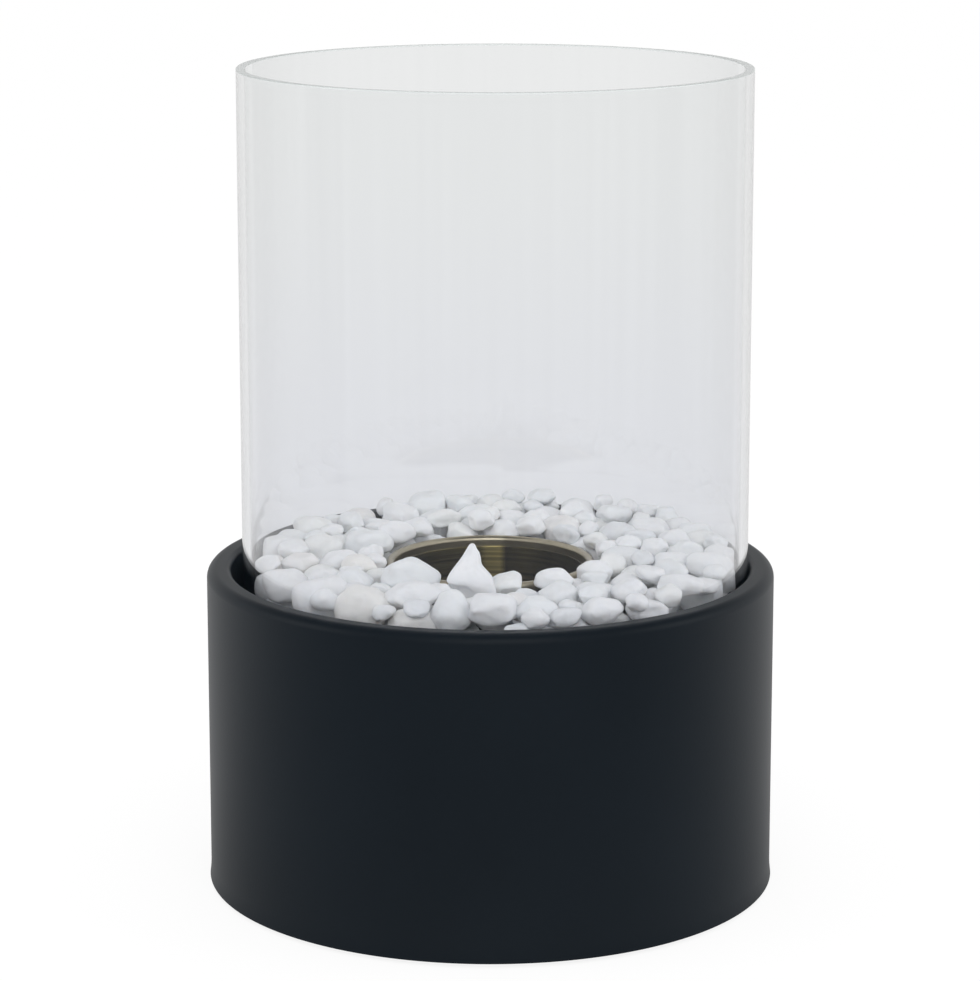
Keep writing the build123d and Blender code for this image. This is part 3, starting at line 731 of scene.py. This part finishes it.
class FIRE_OT_pebbles(bpy.types.Operator):
    """Make the tumbled pebbles, each in the place of its solid"""
    bl_idname = "fireplace.pebbles"
    bl_label = "Pebbles"

    def execute(self, context):
        look = context.scene.fire_pebbles
        draw = random.Random(look.seed)
        marble = tumbled_marble("White marble, tumbled", look.cloud, look.dent, look.pit)
        inside = glass_radius - context.scene.fire_glass.wall - look.clear
        # An odd number makes a block, and the plain forms count on from 100
        fine = [pebble_form(i, draw, FINE) for i in range(look.forms)]
        plain = [pebble_form(100 + i, draw, PLAIN) for i in range(look.forms // 2)]
        tip = pebble_form(200, draw, SHARP, pointed=True)
        tints = [linear(code) for code, often in PEBBLE_TINTS for _ in range(often)]
        for name in PEBBLES:
            copies = []
            for middle, axes, half in solids_of(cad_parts[name]):
                forms = fine if middle[2] > shell_high.z - BURIED else plain
                form = draw.choice(forms)
                flip = draw.choice([(1, 1, 1), (1, -1, -1), (-1, 1, -1), (-1, -1, 1)])
                if stands_at(middle, TIP_PLACE, TIP_REACH):
                    form, flip = tip, (1, 1, 1)
                    axes, half = stood_up(axes, half)
                if stands_at(middle, LOW_PLACE, LOW_REACH):
                    middle, half = middle - (0, 0, LOW_SINKS * half[2]), half * (1, 1, LOW_KEEPS)
                place = Matrix(axes.tolist()).to_4x4() @ Matrix.Diagonal((*(half * flip * look.fill), 1.0))
                place.translation = middle
                copies.append(self.copy_of(form, place, draw.choice(tints), draw.uniform(0, 50), inside))
            settle()
            for copy in copies:
                copy.select_set(True)
            context.view_layer.objects.active = copies[0]
            bpy.ops.object.join()
            group = context.object
            group.name = group.data.name = "marble_" + name
            self.keep_clear(group.data, look, inside)
            wear(group, marble, "base", name)
        for form in fine + plain + [tip]:
            bpy.data.meshes.remove(form.data)
        return {"FINISHED"}

    def copy_of(self, form, place, tint, own, inside):
        """A copy of a form with a mesh, place and tint of its own. One that would come too near the glass is
        moved in until it just keeps its clearance."""
        copy = form.copy()
        copy.data = form.data.copy()
        bpy.context.scene.collection.objects.link(copy)
        copy.data.transform(place)
        out = corners_of(copy.data)[:, :2] - glass_middle
        farthest = Vector((*max(out, key=lambda corner: corner @ corner), 0.0))
        if farthest.length > inside:
            copy.data.transform(Matrix.Translation(-farthest.normalized() * (farthest.length - inside)))
        count = len(copy.data.vertices)
        colours = copy.data.attributes.new("tint", "FLOAT_COLOR", "POINT")
        colours.data.foreach_set("color", np.tile(tint, count).astype(np.float32))
        numbers = copy.data.attributes.new("own", "FLOAT", "POINT")
        numbers.data.foreach_set("value", np.full(count, own, np.float32))
        return copy

    def keep_clear(self, mesh, look, inside):
        """Press the pebbles' corners back from the glass, the burner's rim and the pan. Near glass and rim
        they give way more and more, so that a pebble stays round there."""
        corners = corners_of(mesh)
        for middle, limit, side in (
                (np.array(glass_middle), inside, 1), (np.zeros(2), cup_high.x + look.clear, -1)):
            out = corners[:, :2] - middle
            distance = np.hypot(*out.T)
            depth = side * (distance - limit) + look.soft
            near = depth > 0
            kept = limit - side * look.soft * np.exp(-depth[near] / look.soft)
            corners[near, :2] = middle + out[near] * (kept / distance[near])[:, None]
        corners[:, 2] = np.maximum(corners[:, 2], pan_top + look.clear)
        mesh.vertices.foreach_set("co", corners.ravel())
        mesh.update()


class FIRE_OT_underside(bpy.types.Operator):
    """Make the rubber feet and dress pan, floor, brackets and fasteners"""
    bl_idname = "fireplace.underside"
    bl_label = "Underside"

    def execute(self, context):
        rubber = moulded_rubber("Nitrile rubber, moulded", linear("1C1C1C"))
        low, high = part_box(FEET[0])
        radius, height = (high.x - low.x) / 2, high.z - low.z
        # The seat of the screw's head is a step in the hole, and the ground face rises a little towards it
        seat, seat_height, hole, edge, rises = 4.0 * MM, 1.8 * MM, 2.2 * MM, 0.6 * MM, 0.3 * MM
        outline = ([(seat, rises)] + arc((radius - edge, edge), edge, -90, 0, 5)
                   + [(radius, height), (hole, height), (hole, seat_height), (seat, seat_height)])
        foot = turn("foot", outline, 64)
        for number, name in enumerate(FEET, 1):
            low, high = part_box(name)
            pad = foot.copy()
            pad.data = foot.data.copy()
            pad.name = pad.data.name = "rubber_foot_" + str(number)
            context.scene.collection.objects.link(pad)
            pad.data.transform(Matrix.Translation(((low.x + high.x) / 2, (low.y + high.y) / 2, low.z)))
            wear(pad, rubber, "base", name)
        bpy.data.meshes.remove(foot.data)
        base = context.scene.fire_base
        dress(["stone_pan"],
              powder_coat("Heat-proof paint, matt black", linear("161616"), base.grain, 0.7, 0.2))
        dress(["base_floor"],
              powder_coat("Powder-coated steel, matt black", linear("1A1B1D"), base.grain, 0.6, 0.2))
        dress(BRACKETS, zinc_plate("Zinc-plated sheet steel", linear("9FA3A8"), 6 * MM, 0.4))
        dress(["pan_screws", "floor_screws", "foot_screws", "foot_nuts"],
              zinc_plate("Zinc-plated fasteners", linear("B4B7BA"), 2 * MM, 0.3))
        return {"FINISHED"}


# Lamps: name, place and side of the square, in metres. All point at AIM
AIM = Vector((0, 0, 0.12))
KEY_LAMP = ("key_lamp", (0.1, -1.3, 0.9), 1.1)
SIDE_LAMPS = (("left_lamp", (-1.1, -0.3, 0.5), 0.6), ("right_lamp", (1.1, -0.2, 0.6), 0.6))
# Share of the frame by which the lens is shifted, sideways and up
LENS_SHIFT = (-0.0004, -0.1)
# White of the floor to the camera: over 1, because a part of the floor is left to the shadow
FLOOR_WHITE = 1.06
# In gloss, floor and room brighten between these places along Y, in metres, and these directions, and the
# ceiling darkens between these heights of a direction
FLOOR_BRIGHTENS = (-0.3, 0.1)
ROOM_BRIGHTENS = (-0.4, 0.3)
CEILING_DARKENS = (0.3, 0.75)


class FIRE_OT_stage(bpy.types.Operator):
    """Make floor, room light, lamps and camera"""
    bl_idname = "fireplace.stage"
    bl_label = "Stage"

    def execute(self, context):
        stage = context.scene.fire_stage
        self.floor(stage)
        self.room(context.scene, stage)
        self.lamp(*KEY_LAMP, stage.key)
        for name, place, side in SIDE_LAMPS:
            # From the side, it would show as a white square through the glass
            self.lamp(name, place, side, stage.fill).visible_transmission = False
        settle()
        bpy.ops.object.camera_add(
            location=(0, -stage.distance, stage.height), rotation=(math.radians(90 - stage.pitch), 0, 0))
        camera = context.object
        camera.name = "camera"
        camera.data.sensor_width = SENSOR
        camera.data.lens = stage.focal * SENSOR / PHOTO_SIDE
        camera.data.shift_x, camera.data.shift_y = LENS_SHIFT
        camera.data.clip_start, camera.data.clip_end = 0.01, 50.0
        context.scene.camera = camera
        context.scene.view_settings.view_transform = "Standard"
        return {"FINISHED"}

    def floor(self, stage):
        """Matt white floor that keeps a soft part of the object's shadow."""
        settle()
        bpy.ops.mesh.primitive_circle_add(
            vertices=96, radius=stage.floor_radius, fill_type="NGON", enter_editmode=True)
        bpy.ops.mesh.inset(thickness=stage.floor_radius * 0.8, depth=0)
        bpy.ops.object.mode_set(mode="OBJECT")
        floor = bpy.context.object
        floor.name = floor.data.name = "floor"
        made, tree, shader = new_material(
            "Paper, matt white", Base_Color=linear("FAFAFA"), Roughness=1.0, Specular_IOR_Level=0.0)
        path = add(tree, "ShaderNodeLightPath")
        seen = add(tree, "ShaderNodeMath", {
            0: 1.0, 1: path.outputs["Is Diffuse Ray"]}, operation="SUBTRACT")
        paper = add(tree, "ShaderNodeMapRange", {
            "Value": path.outputs["Is Camera Ray"], "To Min": 1.0, "To Max": stage.paper})
        part = add(tree, "ShaderNodeMath", {0: seen.outputs[0], 1: paper.outputs[0]}, operation="MULTIPLY")
        bright = add(tree, "ShaderNodeMapRange", {
            "Value": path.outputs["Is Camera Ray"], "To Min": stage.mirrored, "To Max": FLOOR_WHITE})
        # Rays through glass count as gloss too, and are taken out of it
        gloss = add(tree, "ShaderNodeMath", {
            0: path.outputs["Is Glossy Ray"], 1: path.outputs["Is Transmission Ray"]},
            operation="SUBTRACT", use_clamp=True)
        place = add(tree, "ShaderNodeTexCoord").outputs["Object"]
        away = add(tree, "ShaderNodeSeparateXYZ", {0: place}).outputs["Y"]
        front = add(tree, "ShaderNodeMapRange", {
            "Value": away, "From Min": FLOOR_BRIGHTENS[0], "From Max": FLOOR_BRIGHTENS[1],
            "To Min": stage.front, "To Max": 1.0})
        table = add(tree, "ShaderNodeMapRange", {
            "Value": gloss.outputs[0], "To Min": 1.0, "To Max": front.outputs[0]})
        strength = add(tree, "ShaderNodeMath", {
            0: bright.outputs[0], 1: table.outputs[0]}, operation="MULTIPLY")
        white = add(tree, "ShaderNodeEmission", {"Color": linear("FFFFFF"), "Strength": strength.outputs[0]})
        both = add(tree, "ShaderNodeMixShader", {
            0: part.outputs[0], 1: shader.outputs[0], 2: white.outputs[0]})
        output = next(n for n in tree.nodes if n.type == "OUTPUT_MATERIAL")
        tree.links.new(both.outputs[0], output.inputs["Surface"])
        floor.data.materials.append(made)

    def room(self, scene, stage):
        """White room: full white to the camera, a little less in glass and gloss and as light on matt
        surfaces. In gloss only the backdrop is bright; the ceiling and the camera's side are dark."""
        scene.world = bpy.data.worlds.new("Studio, white")
        scene.world.use_nodes = True
        tree = scene.world.node_tree
        tree.nodes.clear()
        path = add(tree, "ShaderNodeLightPath")
        matt = add(tree, "ShaderNodeMapRange", {
            "Value": path.outputs["Is Diffuse Ray"], "To Min": stage.mirrored, "To Max": stage.sky})
        seen = add(tree, "ShaderNodeMath", {
            0: matt.outputs[0], 1: path.outputs["Is Camera Ray"]}, operation="MAXIMUM")
        direction = add(tree, "ShaderNodeTexCoord").outputs["Generated"]
        towards = add(tree, "ShaderNodeSeparateXYZ", {0: direction})
        ceiling = add(tree, "ShaderNodeMapRange", {
            "Value": towards.outputs["Z"], "From Min": CEILING_DARKENS[0], "From Max": CEILING_DARKENS[1],
            "To Min": 1.0, "To Max": stage.ceiling}, interpolation_type="SMOOTHSTEP")
        front = add(tree, "ShaderNodeMapRange", {
            "Value": towards.outputs["Y"], "From Min": ROOM_BRIGHTENS[0], "From Max": ROOM_BRIGHTENS[1],
            "To Min": stage.front, "To Max": 1.0}, interpolation_type="SMOOTHSTEP")
        # Rays through glass count as gloss too, and are taken out of it
        gloss = add(tree, "ShaderNodeMath", {
            0: path.outputs["Is Glossy Ray"], 1: path.outputs["Is Transmission Ray"]},
            operation="SUBTRACT", use_clamp=True)
        backdrop = add(tree, "ShaderNodeMath", {
            0: ceiling.outputs[0], 1: front.outputs[0]}, operation="MULTIPLY")
        bright = add(tree, "ShaderNodeMapRange", {
            "Value": gloss.outputs[0], "To Min": 1.0, "To Max": backdrop.outputs[0]})
        strength = add(tree, "ShaderNodeMath", {
            0: seen.outputs[0], 1: bright.outputs[0]}, operation="MULTIPLY")
        light = add(tree, "ShaderNodeBackground", {
            "Color": linear("FFFFFF"), "Strength": strength.outputs[0]})
        add(tree, "ShaderNodeOutputWorld", {"Surface": light.outputs[0]})

    def lamp(self, name, place, side, watts):
        """Square soft lamp that points at the object."""
        turned = (AIM - Vector(place)).to_track_quat("-Z", "Y").to_euler()
        settle()
        bpy.ops.object.light_add(type="AREA", location=place, rotation=turned)
        lamp = bpy.context.object
        lamp.name = name
        lamp.data.shape, lamp.data.size, lamp.data.energy = "SQUARE", side, watts
        return lamp


class FIRE_PT_panel(bpy.types.Panel):
    """Buttons and sizes of the fireplace"""
    bl_idname = "FIRE_PT_panel"
    bl_label = "Tabletop Fireplace"
    bl_space_type = "VIEW_3D"
    bl_region_type = "UI"
    bl_category = "Fireplace"

    def draw(self, context):
        for operator in OPERATORS:
            self.layout.operator(operator.bl_idname)
        for name, group in SETTINGS.items():
            box = self.layout.box()
            box.label(text=group.__doc__)
            for field in group.__annotations__:
                box.prop(getattr(context.scene, name), field)


SETTINGS = {
    "fire_base": BaseSettings,
    "fire_glass": GlassSettings,
    "fire_burner": BurnerSettings,
    "fire_pebbles": PebbleSettings,
    "fire_stage": StageSettings,
}
OPERATORS = (FIRE_OT_stage, FIRE_OT_base, FIRE_OT_glass, FIRE_OT_burner, FIRE_OT_pebbles, FIRE_OT_underside)


def register():
    for group in (*SETTINGS.values(), *OPERATORS, FIRE_PT_panel):
        bpy.utils.register_class(group)
    for name, group in SETTINGS.items():
        setattr(bpy.types.Scene, name, bpy.props.PointerProperty(type=group))


def unregister():
    for name in SETTINGS:
        delattr(bpy.types.Scene, name)
    for group in (FIRE_PT_panel, *reversed(OPERATORS), *reversed(list(SETTINGS.values()))):
        bpy.utils.unregister_class(group)


def main():
    """Make everything in order."""
    register()
    bpy.ops.fireplace.stage()
    bpy.ops.fireplace.base()
    bpy.ops.fireplace.glass()
    bpy.ops.fireplace.burner()
    bpy.ops.fireplace.pebbles()
    bpy.ops.fireplace.underside()
    settle()


if __name__ == "__main__":
    main()
